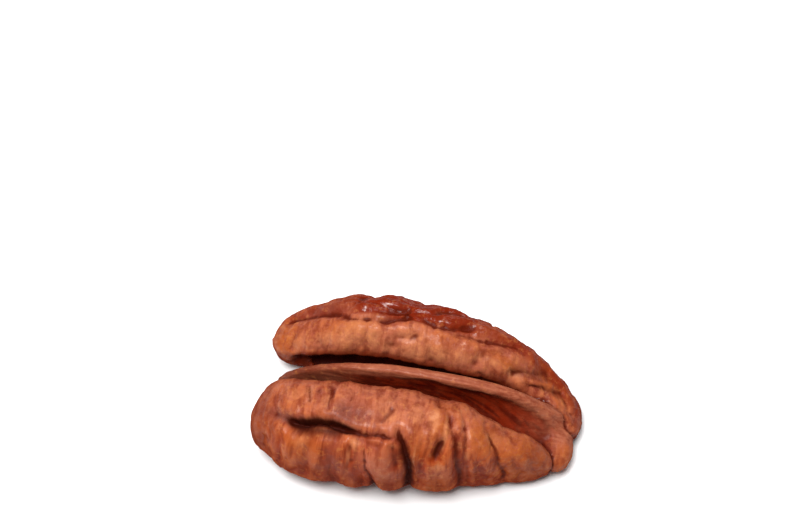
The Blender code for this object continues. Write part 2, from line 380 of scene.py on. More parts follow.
smooth_points = read_vectors("co")
along, across_middle, height_up = smooth_points.T
away_from_near, near_angle = round_lobe(smooth_points, -1, NEAR_LOBE)
away_from_far, far_angle = round_lobe(smooth_points, 1, FAR_LOBE)
on_near = (1 - fade(away_from_near, *LOBE_EDGE)) * (1 - fade(along, *NEAR_LOBE_END))
on_far = 1 - fade(away_from_far, *LOBE_EDGE)
on_ridge = (1 - on_near) * (1 - on_far)
lobe_angle = np.where(on_near > on_far, near_angle, far_angle)
print("share of skin on the lobes:", round(float((on_near + on_far).mean()), 2))

# %% [markdown]
# ## Softening where the forms meet
#
# At the stem end the ridge, the cap and the far lobe flow into each other, while the near lobe
# stays apart behind a crease. A smooth brush over that end only, kept off the near lobe, does it.

# %% Blend the stem end
STEM_END = (12.2, 14.2)
STEM_PASSES = 40

stem_end = fade(along, *STEM_END) * (1 - on_near) * (1 - 0.6 * on_far)
move_to(relax(smooth_points, STEM_PASSES, stem_end * 0.9 + 0.04))
print("blended, largest weight:", round(float(stem_end.max()), 2))

# %% [markdown]
# ## The creases
#
# As the kernel dries inside its shell it shrinks and folds. The folds are not noise: a long one
# runs along each lobe, and shorter ones run down the flanks and cross at its end. So they are
# drawn one by one, each with a depth, a width and a route of a few points. Around a route the
# skin sinks in a narrow V inside a wider dip, and the ends fade out. A negative depth raises a
# thin lip, as beside the deepest folds.

# %% Crease routes
# depth, width, share of the length that fades at each end, points of x and angle
NEAR_CREASES = [
    (0.50, 1.20, 0.30, [(-14.0, 74), (-12.6, 72), (-11.0, 71), (-9.0, 67)]),
    (1.95, 0.64, 0.28, [(-12.4, 76), (-10.8, 72), (-9.6, 69), (-8.2, 74), (-6.6, 72), (-5.4, 68),
                        (-3.6, 66)]),
    (0.80, 1.70, 0.30, [(-11.8, 66), (-9.6, 61), (-7.0, 62), (-4.6, 60)]),
    (0.60, 0.60, 0.30, [(-10.6, 79), (-9.9, 74), (-9.4, 66)]),
    (0.60, 0.60, 0.30, [(-7.6, 80), (-7.2, 74), (-7.0, 66)]),
    (0.65, 0.50, 0.12, [(-5.4, 66), (-3.9, 63), (-2.4, 66), (-1.5, 64), (-0.7, 60)]),
    (0.45, 1.30, 0.30, [(-5.4, 60), (-3.2, 56), (-1.4, 54)]),
    (1.00, 0.70, 0.20, [(-0.8, 90), (-0.5, 76), (-0.3, 64), (0.1, 54), (0.6, 38), (0.9, 20),
                        (1.0, -70)]),
    (0.70, 1.50, 0.20, [(-0.3, 70), (0.2, 48), (0.8, 20), (0.9, -70)]),
    (0.55, 0.80, 0.25, [(-1.1, 60), (-0.7, 44), (0.0, 20)]),
    (-0.22, 0.30, 0.30, [(0.75, 60), (1.1, 46), (1.4, 34), (1.6, 18), (1.65, 0)]),
    (0.36, 0.60, 0.30, [(-4.7, 58), (-4.8, 46), (-4.6, 30), (-4.2, 4)]),
    (0.45, 1.30, 0.25, [(-4.1, 58), (-4.0, 30), (-3.2, -60)]),
    (0.45, 0.48, 0.15, [(-3.7, 63), (-3.55, 50), (-3.35, 38), (-3.1, 18), (-2.7, 2), (-2.5, -70)]),
    (0.70, 0.70, 0.30, [(-2.8, 8), (-2.5, -15), (-2.5, -80)]),
    (0.50, 1.50, 0.25, [(-7.4, 60), (-7.0, 36), (-6.8, 12), (-6.6, -60)]),
    (0.22, 0.60, 0.30, [(-8.0, 56), (-7.6, 40), (-7.4, 10)]),
    (0.35, 1.20, 0.30, [(-10.0, 58), (-9.6, 34), (-9.3, -30)]),
    (0.26, 0.46, 0.30, [(-10.0, 132), (-9.7, 106), (-9.2, 84)]),
    (0.24, 0.44, 0.30, [(-8.9, 128), (-8.5, 104), (-8.2, 85)]),
    (0.34, 0.50, 0.25, [(-7.9, 138), (-7.5, 116), (-7.6, 99), (-7.1, 82)]),
    (0.30, 2.20, 0.30, [(-7.0, 96), (-5.2, 90), (-3.4, 86)]),
    (0.35, 0.80, 0.30, [(-6.4, 132), (-5.5, 116), (-5.8, 98)]),
    (0.28, 0.90, 0.35, [(-1.2, 114), (-1.7, 98), (-2.2, 84), (-2.9, 70)]),
    (0.36, 0.90, 0.30, [(2.3, 152), (2.8, 130), (3.2, 104)]),
    (0.45, 0.60, 0.20, [(3.4, 124), (4.0, 100), (4.4, 80), (4.8, 65), (5.1, 50), (5.4, 24),
                        (5.6, -70)]),
    (0.55, 1.40, 0.30, [(4.3, 100), (5.1, 62), (5.6, 26), (5.9, -70)]),
    (-0.18, 0.28, 0.30, [(4.9, 88), (5.1, 74), (5.5, 60), (5.8, 44)]),
    (0.45, 0.55, 0.22, [(4.9, 112), (5.5, 90), (5.9, 72), (6.1, 50), (6.3, 24), (6.5, -60)]),
    (0.75, 0.85, 0.38, [(4.0, 72), (3.5, 58), (3.1, 44), (2.9, 30)]),
    (0.35, 1.50, 0.38, [(3.9, 74), (3.3, 52), (2.9, 28)]),
    (-0.16, 0.34, 0.30, [(3.5, 48), (3.2, 40), (3.0, 30)]),
    (0.30, 0.90, 0.30, [(1.8, 80), (2.0, 40), (2.1, -40)]),
    (0.40, 0.55, 0.25, [(7.4, 116), (8.1, 90), (8.6, 68), (9.1, 42), (9.6, 8), (9.9, -50)]),
    (0.40, 1.40, 0.30, [(7.6, 112), (8.6, 68), (9.5, 8), (9.8, -60)]),
    (0.25, 0.40, 0.25, [(8.6, 74), (9.05, 58), (9.5, 36), (9.95, 2)]),
    (0.30, 1.00, 0.30, [(6.9, 70), (7.3, 20), (7.4, -50)]),
    (0.30, 0.80, 0.30, [(10.2, 68), (10.8, 20), (11.1, -50)]),
    (0.22, 0.70, 0.30, [(12.3, 56), (12.4, 0)]),
    (0.30, 0.90, 0.30, [(-11.6, 62), (-11.9, 36), (-12.0, -20)]),
    (0.25, 0.80, 0.30, [(-13.5, 50), (-13.6, 20), (-13.4, -20)]),
]
FAR_CREASES = [
    (0.55, 0.90, 0.15, [(-14.3, 56), (-13.5, 67), (-12.3, 75), (-9.8, 82), (-8.4, 92), (-7.0, 101),
                        (-4.6, 102), (-3.8, 105)]),
    (0.40, 1.40, 0.25, [(-13.0, 58), (-11.0, 68), (-9.0, 78), (-6.0, 92)]),
    (0.60, 0.80, 0.18, [(-5.0, 102), (-3.9, 105), (-3.0, 99), (-2.2, 92), (-1.2, 80)]),
    (0.36, 0.80, 0.20, [(-0.6, 103), (-0.8, 115), (-1.4, 123), (-2.4, 127), (-2.9, 135),
                        (-3.1, 148), (-3.0, 168)]),
    (0.50, 0.90, 0.18, [(2.2, 95), (3.7, 100), (5.0, 100), (6.4, 91), (8.4, 83), (10.4, 64)]),
    (0.50, 0.85, 0.20, [(-1.4, 70), (0.1, 86), (1.2, 95), (2.4, 94), (3.6, 86), (5.2, 74)]),
    (0.30, 0.60, 0.30, [(4.4, 60), (3.1, 53), (1.6, 60), (0.2, 72)]),
    (0.30, 0.60, 0.30, [(-0.2, 81), (1.3, 77), (2.8, 76), (4.2, 69)]),
    (0.35, 0.80, 0.25, [(-8.6, 84), (-7.5, 76), (-6.8, 62), (-6.6, 40)]),
    (0.35, 0.70, 0.25, [(-5.4, 88), (-3.6, 84), (-2.0, 74), (-1.6, 60)]),
    (0.20, 0.50, 0.20, [(-12.4, 98), (-12.7, 117), (-12.9, 133), (-12.8, 152)]),
    (0.14, 0.45, 0.30, [(-11.6, 104), (-11.8, 130), (-11.6, 164)]),
    (0.16, 0.50, 0.30, [(-10.1, 104), (-10.2, 130), (-10.0, 166)]),
    (0.12, 0.40, 0.30, [(-8.9, 110), (-9.0, 134), (-8.8, 166)]),
    (0.18, 0.50, 0.30, [(-7.6, 112), (-7.8, 134), (-7.5, 166)]),
    (0.14, 0.45, 0.30, [(-6.5, 114), (-6.6, 136), (-6.4, 166)]),
    (0.18, 0.50, 0.30, [(-5.3, 114), (-5.5, 136), (-5.2, 166)]),
    (0.14, 0.45, 0.30, [(-4.2, 112), (-4.4, 136), (-4.2, 164)]),
    (0.20, 0.70, 0.30, [(0.9, 116), (0.9, 136), (1.2, 164)]),
    (0.18, 0.70, 0.30, [(2.9, 114), (2.8, 134), (3.1, 162)]),
    (0.25, 0.55, 0.30, [(6.1, 112), (7.2, 110), (8.2, 100), (9.4, 80)]),
    (0.30, 0.70, 0.30, [(4.8, 150), (5.5, 134), (6.0, 120), (6.5, 104)]),
    (0.30, 0.40, 0.30, [(5.5, 148), (6.2, 156), (6.3, 168)]),
    (0.64, 1.25, 0.20, [(8.2, 156), (9.8, 131), (11.1, 107), (12.2, 80), (13.0, 46)]),
    (0.38, 0.80, 0.25, [(9.6, 145), (11.2, 119), (12.6, 88), (13.6, 50)]),
    (0.64, 1.10, 0.20, [(10.0, 156), (11.6, 135), (12.6, 119), (13.8, 94), (14.8, 60)]),
    (0.38, 0.75, 0.25, [(11.4, 149), (12.9, 125), (14.4, 97), (15.3, 66)]),
    (0.26, 0.55, 0.25, [(12.5, 142), (13.8, 126), (15.0, 103), (15.8, 80)]),
    (0.40, 1.00, 0.25, [(-10.4, 52), (-10.0, 20), (-9.8, -50)]),
    (0.25, 0.70, 0.30, [(-8.2, 46), (-8.0, 12), (-8.1, -40)]),
    (0.55, 0.80, 0.20, [(-5.6, 56), (-5.2, 30), (-5.0, 0), (-5.1, -70)]),
    (0.30, 0.70, 0.30, [(-3.4, 44), (-3.0, 10), (-3.1, -50)]),
    (0.65, 0.80, 0.20, [(-0.6, 50), (-0.3, 26), (-0.5, -4), (-0.3, -70)]),
    (0.28, 0.70, 0.30, [(2.0, 44), (1.8, 14), (2.0, -40)]),
    (0.50, 0.80, 0.20, [(3.6, 46), (4.0, 20), (3.9, -70)]),
    (0.32, 0.70, 0.25, [(6.2, 66), (6.6, 30), (6.5, -50)]),
    (0.40, 0.70, 0.25, [(8.6, 60), (8.9, 24), (9.0, -60)]),
    (0.28, 0.60, 0.30, [(11.0, 50), (11.2, 10), (11.1, -50)]),
]
print("creases:", len(NEAR_CREASES) + len(FAR_CREASES))

# %% [markdown]
# ## How deep a crease is
#
# A route has only a few points, so it is first drawn as a fine curve. Each vertex near it then
# finds its nearest spot on the curve, and its depth follows from that distance. Most vertices
# lie far away and are left out from the start, which keeps so many creases quick.

# %% The depth of one crease
ROUTE_STEPS = 6   # fine steps from one point of a route to the next
REACH = 4         # widths, past which a crease is not felt


def crease(x, angle, depth, width, taper, route):
    """Depth of one crease at every point, from the point's distance to the crease's route."""
    route = np.array(route, float)
    knots = np.arange(len(route), dtype=float)
    fine = np.linspace(0, len(route) - 1, (len(route) - 1) * ROUTE_STEPS + 1)
    line = np.column_stack([through(fine, knots, route[:, 0]),
                            through(fine, knots, route[:, 1] * MM_PER_DEGREE)])
    low, high = line.min(axis=0) - REACH * width, line.max(axis=0) + REACH * width
    skin = np.column_stack([x, angle * MM_PER_DEGREE])
    close = np.flatnonzero(((skin > low) & (skin < high)).all(axis=1))
    skin = skin[close]
    lengths = np.linalg.norm(np.diff(line, axis=0), axis=1)
    run = np.concatenate([[0], np.cumsum(lengths)]) / lengths.sum()
    nearest = np.full(len(close), np.inf)
    where = np.zeros(len(close))
    for k in range(len(line) - 1):
        ahead = line[k + 1] - line[k]
        offset = skin - line[k]
        share = np.clip(offset @ ahead / (ahead @ ahead), 0, 1)
        distance = np.linalg.norm(offset - share[:, None] * ahead, axis=1)
        closer = distance < nearest
        nearest[closer] = distance[closer]
        where[closer] = run[k] + share[closer] * (run[k + 1] - run[k])
    ends = 0.1 + 0.9 * fade(where, 0, taper) * fade(1 - where, 0, taper)
    spread = nearest / width
    narrow_v = 0.55 * np.exp(-1.1 * spread)
    soft_dip = 0.45 * np.exp(-(spread / 0.6) ** 2)
    result = np.zeros(len(x))
    result[close] = depth * ends * (narrow_v + soft_dip)
    return result


print("crease helper ready")

# %% [markdown]
# ## Swaying the skin's coordinates
#
# A drawn route is too even. Before a crease is pressed, the coordinates of the skin are shifted
# by slow noise, so that every crease wanders a little, as a fold in drying skin does. Blender's
# noise is the same on every run, so the nut is too. Both lobes share one pair of coordinates
# here, and a third number keeps their patterns apart.

# %% Sway and flow
SWAY_ALONG = 0.7          # mm
SWAY_ROUND = 0.8          # mm
FAR_LOBE_PATTERN = 31.0   # any number well away from the near lobe's 0


def noise_at(places, octaves=3):
    """Fractal noise, about -0.5 to 0.5, at each place."""
    return np.array([noise.fractal(Vector(p), 1.0, 2.0, octaves) for p in places]) * 0.5


side_shift = np.where(on_near > on_far, 0.0, FAR_LOBE_PATTERN)
skin_flow = np.column_stack([along, lobe_angle * MM_PER_DEGREE, side_shift])
sway_along = SWAY_ALONG * noise_at(smooth_points * 0.45, 1)
sway_round = SWAY_ROUND * noise_at(smooth_points * 0.4 + (40, 0, 0), 1) / MM_PER_DEGREE
print("sway along in mm:", round(float(np.abs(sway_along).max()), 2))

# %% [markdown]
# ## Adding the creases up
#
# Where two creases cross, their depths are added as squares, so the crossing is deeper than
# either but no pit. Two more lines are not drawn at all: the near lobe and the end of the ridge
# are marked off by a shallow seam, which is found as the rim of each lobe's mask.

# %% Add up the creases
STEM_SEAM_DEPTH = 0.5         # mm
STEM_SEAM_ALONG = (6.0, 10.0)
RIDGE_END_DEPTH = 0.35        # mm
RIDGE_END_ALONG = (12.5, 14.0)
RIM_PASSES = 5

sunk = np.zeros(vertex_count)
lips = np.zeros(vertex_count)
swayed = along + sway_along
for on_lobe, angle, creases in ((on_near, near_angle + sway_round, NEAR_CREASES),
                                (on_far, far_angle + sway_round, FAR_CREASES)):
    for depth, width, taper, route in creases:
        pressed = on_lobe * crease(swayed, angle, depth, width, taper, route)
        if depth > 0:
            sunk = np.sqrt(sunk ** 2 + pressed ** 2)
        else:
            lips = np.minimum(lips, pressed)
rim_of_near = 1 - np.abs(2 * blurred(on_near, RIM_PASSES) - 1)
rim_of_far = 1 - np.abs(2 * blurred(on_far, RIM_PASSES) - 1)
stem_seam = STEM_SEAM_DEPTH * rim_of_near ** 3 * fade(along, *STEM_SEAM_ALONG)
ridge_end = RIDGE_END_DEPTH * rim_of_far ** 2 * fade(along, *RIDGE_END_ALONG)
sunk = np.maximum(sunk, np.maximum(stem_seam, ridge_end))
print("deepest crease in mm:", round(float(sunk.max()), 2))

# %% [markdown]
# ## The undercut and the torn slope
#
# Two places need more than a crease. The far lobe rolls over the groove beside the ridge, so
# its inner side is pressed well in. And on its near side the ridge's pale crest breaks off at a
# ragged edge, with a slope below that the material paints dark red and in painted shade. The
# side of the ridge is too steep to say where the slope starts by a distance across, so it is
# marked by the depth below the crest, with noise to tear its edge. The slope and the cap are
# pressed in a little, so that the edge is a real step.

# %% Press everything in
# depths in mm, stretches along x in mm, stretches round the lobe in degrees
UNDERCUT_DEPTH = 1.1
UNDERCUT_TOP, UNDERCUT_BOTTOM = (159, 169), (192, 215)
UNDERCUT_START, UNDERCUT_END = (-13.2, -11.2), (2.0, 9.0)
SLOPE_DEPTH = 0.30
SLOPE_EDGE = (0.30, 0.95)     # mm below the crest
SLOPE_START = (-9.0, -4.5)
SHELF_START = (-4.0, 2.0)
CAP_START = (13.0, 14.2)

inward = np.where(far_angle < -90, far_angle + 360, far_angle) + 0.3 * sway_round
undercut = (UNDERCUT_DEPTH * on_far
            * fade(inward, *UNDERCUT_TOP) * (1 - fade(inward, *UNDERCUT_BOTTOM))
            * fade(along, *UNDERCUT_START) * (1 - fade(along, *UNDERCUT_END)))
below_crest = through(along, RIDGE[:, 0], RIDGE[:, 1]) - height_up
ragged = (0.6 * noise_at(smooth_points * (0.5, 1.2, 1.2) + (0, 0, 50), 2)
          - 0.25 * fade(along, 1.0, 4.0))
on_slope = (on_ridge * fade(below_crest + ragged, *SLOPE_EDGE)
            * fade(-across_middle, 0.1, 0.5) * fade(along, *SLOPE_START))
on_cap = on_ridge * fade(along, *CAP_START) * fade(-across_middle, 0.0, 0.6)
shelf = SLOPE_DEPTH * np.maximum(on_slope * fade(along, *SHELF_START), on_cap)
pressed_in = sunk + lips + shelf + undercut
move_to(read_vectors("co") - read_vectors("normal") * pressed_in[:, None])
print("pressed in at most, in mm:", round(float(pressed_in.max()), 2))

# %% [markdown]
# ## Small wrinkles
#
# Between the creases the skin is never smooth. It has soft lumps, ripples that run down the
# flanks, shallow puckers on the far crest, and fine lengthwise lines on the ridge. Each kind
# has its place, so the skin is first divided: the flank below, the roll above, the pad the nut
# lies on, and the puckered back of the far lobe.

# %% Divide the skin
ROLL_START = (58, 84)   # degrees round the lobe, where the flank turns into the roll

on_lobes = np.clip(on_near + on_far, 0, 1)
on_flank = on_lobes * (1 - fade(lobe_angle, *ROLL_START))
on_roll = on_lobes * fade(lobe_angle, *ROLL_START)
on_pad = on_lobes * (1 - fade(np.abs(lobe_angle + 90), 30, 62))
puckered = (on_far * fade(along, -8.5, -6.5) * (1 - fade(along, 4.0, 7.0))
            * fade(lobe_angle, 30, 46) * (1 - fade(lobe_angle, 88, 98)))
print("share of skin that is puckered:", round(float(puckered.mean()), 3))

# %% [markdown]
# ## Noise that runs with the skin
#
# Noise makes wrinkles well if it is stretched the way the skin folds. Read at lobe coordinates,
# with many waves along x and few round the lobe, it comes out as ripples across the lobe. On the
# ridge it is read the other way, long in x, and on the slope it is slanted, because the lines
# there run down to the cap.

# %% Patterns of wrinkles
lumps = noise_at(smooth_points * 0.42, 2)
bend = 0.8 * noise_at(smooth_points * 0.5 + (0, 21, 0), 1)
bent_flow = skin_flow + bend[:, None] * (1.0, 0.6, 0.0)
ripples = noise_at(bent_flow * (0.80, 0.14, 1.0), 2)
veins = 1 - 2 * np.abs(noise_at(bent_flow * (1.1, 0.42, 1.0) + (0, 0, 5), 2))
fine = noise_at(smooth_points * 1.9, 2)
slant = np.column_stack([along, across_middle + 0.26 * along, below_crest - 0.3 * along])
ridge_lines = (noise_at(smooth_points * (0.22, 3.2, 2.6), 2) * (1 - on_slope)
               + noise_at(slant * (0.12, 1.5, 1.2), 2) * on_slope)
slope_lines = 0.5 + noise_at(slant * (0.14, 2.6, 2.2) + (0, 0, 30), 3)
puckers = noise_at(bent_flow * (0.30, 0.55, 1.0) + (9, 0, 0), 1)
pucker_lines = 1 - 2.3 * np.abs(noise_at(bent_flow * (0.26, 0.50, 1.0) + (3, 0, 8), 1))
pillows = noise_at(skin_flow * (0.42, 0.10, 1.0) + (0, 0, 17), 1)
print("ripples from", round(float(ripples.min()), 2), "to", round(float(ripples.max()), 2))

# %% [markdown]
# ## How high the wrinkles stand
#
# The patterns are added up with a height each, all of them a fraction of a millimetre. The pad
# is calmer, because it lay on the shell's partition. One light pass of the smooth brush at the
# end takes off the finest steps that the voxel grid leaves.

# %% Wrinkle the skin
# heights in mm
LUMPS = 0.26
RIPPLES_ON_FLANK, RIPPLES_ON_ROLL = 0.28, 0.30
VEINS_ON_FLANK, VEINS_ON_ROLL = 0.06, 0.05
PEBBLES = 0.04
RIDGE_LINES = 0.10
PILLOWS = 0.18
PUCKERS, PUCKER_LINES, PUCKERED_SINKS = 0.6, 0.25, 0.08
PAD_CALM = 0.6   # share of the wrinkles that the pad lacks

calm = 1 - PAD_CALM * on_pad
raised = (LUMPS * lumps * on_roll
          + ripples * (RIPPLES_ON_FLANK * on_flank + RIPPLES_ON_ROLL * on_roll) * calm
          - (VEINS_ON_FLANK * on_flank + VEINS_ON_ROLL * on_roll) * fade(veins, 0.75, 1.0) * calm
          + PEBBLES * fine
          + RIDGE_LINES * ridge_lines * on_ridge
          + PILLOWS * pillows * on_flank * calm
          + (PUCKERS * puckers - PUCKER_LINES * fade(pucker_lines, 0.60, 1.0)
             - PUCKERED_SINKS) * puckered)
wrinkled = read_vectors("co") + read_vectors("normal") * raised[:, None]
move_to(relax(wrinkled, 1, 0.5))
print("wrinkles in mm:", round(float(raised.min()), 2), "to", round(float(raised.max()), 2))

# %% [markdown]
# ## Resting flats and true size
#
# The kernel lies on a small flat under each lobe. Vertices below the resting plane are pressed
# up into it, as a soft thing settles. Then the skin is moved so that the kernel's middle is over
# the origin, scaled to metres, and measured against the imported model.

# %% Settle and scale
def settle():
    """Flatten the underside on the resting plane, centre the kernel and scale it to metres."""
    points = read_vectors("co")
    points[:, 2] = np.maximum(points[:, 2], 0.0)
    middle = (points.min(axis=0) + points.max(axis=0)) / 2
    points -= (middle[0], middle[1], 0)
    points *= np.array(packed_size) / MM / (points.max(axis=0) - points.min(axis=0))
    move_to(points * MM)
    return middle * MM


form_middle = settle()
kernel.data.shade_smooth()
kernel.name = "pecan_kernel_skin"
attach(kernel, "root")
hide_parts("pecan_half")
print("middle of the forms in mm:", [round(float(v / MM), 2) for v in form_middle])

# %% [markdown]
# ## What the colour follows
#
# A pecan's skin is not one brown. It is orange where a roll stands proud and was rubbed, redder
# and purple on the flanks, and deep in a fold the material paints it nearly black as painted
# shade. The material needs to know those places, so they are written on the skin as attributes,
# which travel with the mesh and never slide. The first ones say how sunken each spot is against
# the skin around it: on a fine scale, on a broad one, and on the scale of the grooves.

# %% Write how sunken the skin is
FINE_PASSES, BROAD_PASSES, GROOVE_PASSES = 10, 70, 450
FINE_GAIN, BROAD_GAIN = 5.0, 1.6              # per mm, round a middle of 0.5
DEEPEST_GROOVE, DEEPEST_CREASE = 2.2, 2.0     # mm, which become 1


def keep(name, values):
    """Store one number for each vertex of the skin."""
    layer = kernel.data.attributes.new(name, "FLOAT", "POINT")
    layer.data.foreach_set("value", np.asarray(values, dtype=np.float32))


def sunken(passes):
    """How far each vertex lies below the skin around it, in mm."""
    points = read_vectors("co") / MM
    away = relax(points, passes) - points
    return np.einsum("ij,ij->i", away, read_vectors("normal"))


fine_hollow = blurred(sunken(FINE_PASSES), 2)
broad_hollow = sunken(BROAD_PASSES)
groove = sunken(GROOVE_PASSES)
keep("fine_hollow", np.clip(0.5 + fine_hollow * FINE_GAIN, 0, 1))
keep("broad_hollow", np.clip(0.5 + broad_hollow * BROAD_GAIN, 0, 1))
keep("deep_groove", np.clip(groove / DEEPEST_GROOVE, 0, 1))
keep("crease_depth", np.clip(sunk / DEEPEST_CREASE, 0, 1))
print("hollows in mm:", round(float(fine_hollow.max()), 3), round(float(broad_hollow.max()), 3),
      round(float(groove.max()), 2))

# %% [markdown]
# ## Masks for the parts of the nut
#
# The others are masks, 1 on a part of the nut and 0 off it, with a soft edge. The channel is
# the far lobe's wall in the groove, the seam is where a lobe meets the ridge, and the foot is
# the skin near the table and at both ends of the near lobe; the material paints shade on all
# three, on the inner sides of the rolls and on the ridge's thin end. Two more attributes are no
# masks: one carries the lines of the slope, and one the lobe coordinates, so that the material
# can streak the skin round a lobe.

# %% Write the masks
# masks for painted shade: the rolls' inner sides, the groove wall, the seams and the foot
inner_far = on_far * fade(inward, 151, 166)
inner_near = on_near * fade(near_angle, 122, 150)
channel = (on_far * fade(inward, 144, 165) * fade(along, -13.0, -11.4)
           * (1 - fade(along, 4.0, 11.0)))
near_seam = rim_of_near ** 2 * np.maximum(fade(near_angle, 60, 100), fade(along, 9, 11))
near_ends = np.maximum(0.6 * fade(along, 9.5, 13.0), 0.9 * (1 - fade(along, -14.6, -12.2)))
low_skin = on_lobes * (1 - fade(height_up, 0.3, 2.8))
back_skin = (0.40 + 0.35 * fade(along, -9.0, -5.0)) * on_far * (1 - fade(far_angle, 74, 100))
masks = {
    "channel": channel,
    "inner_side": np.maximum(inner_far, inner_near),
    "seam": np.maximum(near_seam, 0.8 * rim_of_far ** 2),
    "on_slope": on_slope * (1 - 0.42 * fade(along, 8.5, 14.0)),
    "ridge_tip_shade": on_ridge * (1 - fade(along, -12.0, -3.0)),
    "on_flank": on_lobes * (1 - fade(lobe_angle, 42, 76)),
    "low_flank": on_lobes * (1 - fade(lobe_angle, -25, 38)),
    "puckered": puckered,
    "foot": np.maximum(low_skin, on_near * near_ends),
    "far_back": np.maximum(puckered, back_skin)}
for name, values in masks.items():
    keep(name, values)
keep("slope_lines", slope_lines)
flow_layer = kernel.data.attributes.new("skin_flow", "FLOAT_VECTOR", "POINT")
flow_layer.data.foreach_set("vector", skin_flow.astype(np.float32).ravel())
print("masks written:", len(masks))

# %% [markdown]
# ## Patches of colour
#
# Some patches are the nut's own colour: orange at the ends and on the proud rolls, dull
# grey-brown on the flat beside the long fold, and pink-brown in the middle, where some of the
# pink on the rolls is painted sheen. The small light spots are mostly painted highlights, glints
# on the lips of folds and on the rolls, and a few are pale ochre skin. Each patch is a soft oval in
# lobe coordinates, and four attributes say how orange, pink, dull and light the skin is. The
# material breaks up their edges with noise.

# %% Lay the colour patches
PATCH_EDGE = (0.25, 1.5)   # in half sizes of the oval, where a patch thins out and ends
# lobe side, x, angle, half length in mm, half width in degrees, strength
ORANGE_PATCHES = [
    (-1, -14.5, 40, 1.8, 90, 0.5), (-1, -9.8, 34, 2.0, 30, 0.6), (-1, -11.6, 100, 1.4, 20, 0.4),
    (-1, 3.2, 90, 1.3, 40, 0.7), (-1, 1.5, 60, 1.2, 22, 0.5), (-1, 7.6, 82, 1.5, 34, 1.0),
    (-1, 11.5, 50, 2.6, 80, 0.9), (-1, 3.5, -10, 1.2, 40, 0.5), (1, -13.9, 110, 1.5, 60, 1.0),
    (1, -7.0, 118, 3.0, 14, 0.8), (1, 3.4, 122, 3.4, 18, 0.8), (1, 8.0, 120, 2.2, 18, 0.8),
    (1, 12.8, 90, 2.4, 50, 0.7), (1, 2.6, 88, 2.0, 8, 0.6), (1, -9.0, 20, 3.0, 30, 0.5),
    (1, 6.0, 20, 3.5, 34, 0.5)]
# pink: partly the skin's own pink-brown, partly painted sheen on the rolls
PINK_AND_SHEEN_PATCHES = [
    (-1, -4.6, 112, 2.2, 22, 0.9), (-1, -1.9, 98, 1.6, 34, 0.9), (-1, 0.6, 108, 1.3, 26, 0.6),
    (-1, -2.6, 36, 1.6, 22, 0.8), (-1, -8.6, 104, 1.6, 14, 0.4), (1, -8.0, 140, 4.2, 16, 0.5),
    (1, -2.0, 134, 3.4, 26, 1.0), (1, 4.0, 136, 3.6, 22, 0.9), (1, -6.4, 88, 1.2, 12, 0.9),
    (1, 7.6, 96, 1.8, 10, 0.7), (1, -1.0, 0, 3.0, 30, 0.6)]
DULL_PATCHES = [
    (-1, -5.4, 88, 2.2, 17, 1.0), (-1, -6.6, 20, 0.9, 60, 0.5), (-1, -1.0, 10, 2.0, 50, 0.3),
    (-1, -12.2, 74, 1.9, 10, 1.0), (-1, 5.9, 30, 0.9, 40, 0.3), (1, -10.6, 70, 2.6, 16, 0.9),
    (1, -4.2, 96, 1.0, 10, 0.6), (1, 10.6, 110, 2.0, 20, 0.5), (1, -5.0, -10, 2.0, 40, 0.6),
    (1, 3.0, -10, 2.0, 40, 0.6)]
# light spots: mostly painted highlights, glints on fold lips and on the rolls; a few pale ochre
# skin
GLINT_AND_PALE_PATCHES = [
    (-1, 1.25, 40, 0.14, 16, 0.7), (-1, 3.6, 29, 0.32, 7, 0.7), (-1, 5.35, 59, 0.22, 9, 0.7),
    (-1, 6.2, 45, 0.22, 8, 0.6), (-1, -4.9, 36, 0.18, 12, 0.6), (-1, 2.6, 92, 0.5, 18, 0.8),
    (-1, 3.8, 78, 0.22, 26, 1.0), (-1, -11.2, 105, 0.7, 10, 0.5), (-1, -9.6, 112, 0.6, 10, 0.5),
    (-1, -7.9, 100, 0.5, 10, 0.5), (-1, -4.5, 52, 0.4, 8, 0.8), (-1, 8.2, 88, 0.8, 14, 0.5),
    (-1, 0.9, 96, 0.8, 12, 0.5), (-1, -1.6, 88, 0.7, 9, 0.6), (-1, -1.8, 98, 1.4, 20, 0.35),
    (-1, -9.6, 44, 0.7, 12, 0.4), (1, -12.2, 128, 0.7, 14, 0.4), (1, -9.4, 130, 1.0, 11, 0.6),
    (1, -7.3, 134, 1.1, 14, 0.9), (1, -5.0, 132, 1.1, 14, 0.9), (1, -3.2, 140, 0.7, 10, 0.7),
    (1, -0.6, 134, 0.8, 14, 1.0), (1, 1.5, 136, 1.3, 12, 1.0), (1, 3.9, 132, 1.0, 10, 0.7),
    (1, 6.5, 128, 1.4, 8, 0.6), (1, 9.3, 138, 1.0, 10, 0.7), (1, -0.8, 130, 2.0, 24, 0.6),
    (1, -6.2, 126, 2.4, 24, 0.65)]


def patch_map(patches):
    """How strongly a kind of patch covers each vertex."""
    cover = np.zeros(vertex_count)
    for side, x, angle, half_length, half_width, strength in patches:
        on_lobe, angles = (on_near, near_angle) if side < 0 else (on_far, far_angle)
        turn = (angles - angle + 180) % 360 - 180
        away = np.hypot((along - x) / half_length, turn / half_width)
        cover = np.maximum(cover, strength * on_lobe * (1 - fade(away, *PATCH_EDGE)))
    return cover


orange = patch_map(ORANGE_PATCHES)
stem_cap_skin = on_ridge * fade(along, 13.2, 14.6) * (1 - fade(across_middle, -3.0, -1.6))
keep("orange_patch", np.maximum(orange, 0.8 * stem_cap_skin))
keep("on_ridge", on_ridge * (1 - 0.85 * stem_cap_skin))
keep("pink_and_sheen_patch", patch_map(PINK_AND_SHEEN_PATCHES))
keep("dull_patch", patch_map(DULL_PATCHES))
keep("glint_and_pale_patch", patch_map(GLINT_AND_PALE_PATCHES))
print("orange share of the skin:", round(float((orange > 0.3).mean()), 2))

# %% [markdown]
# ## Node helpers
#
# A node tree is easier to read as a short list of steps than as a hundred lines of clicking.
# These helpers each add one node and wire it, so that the material below reads like a recipe.

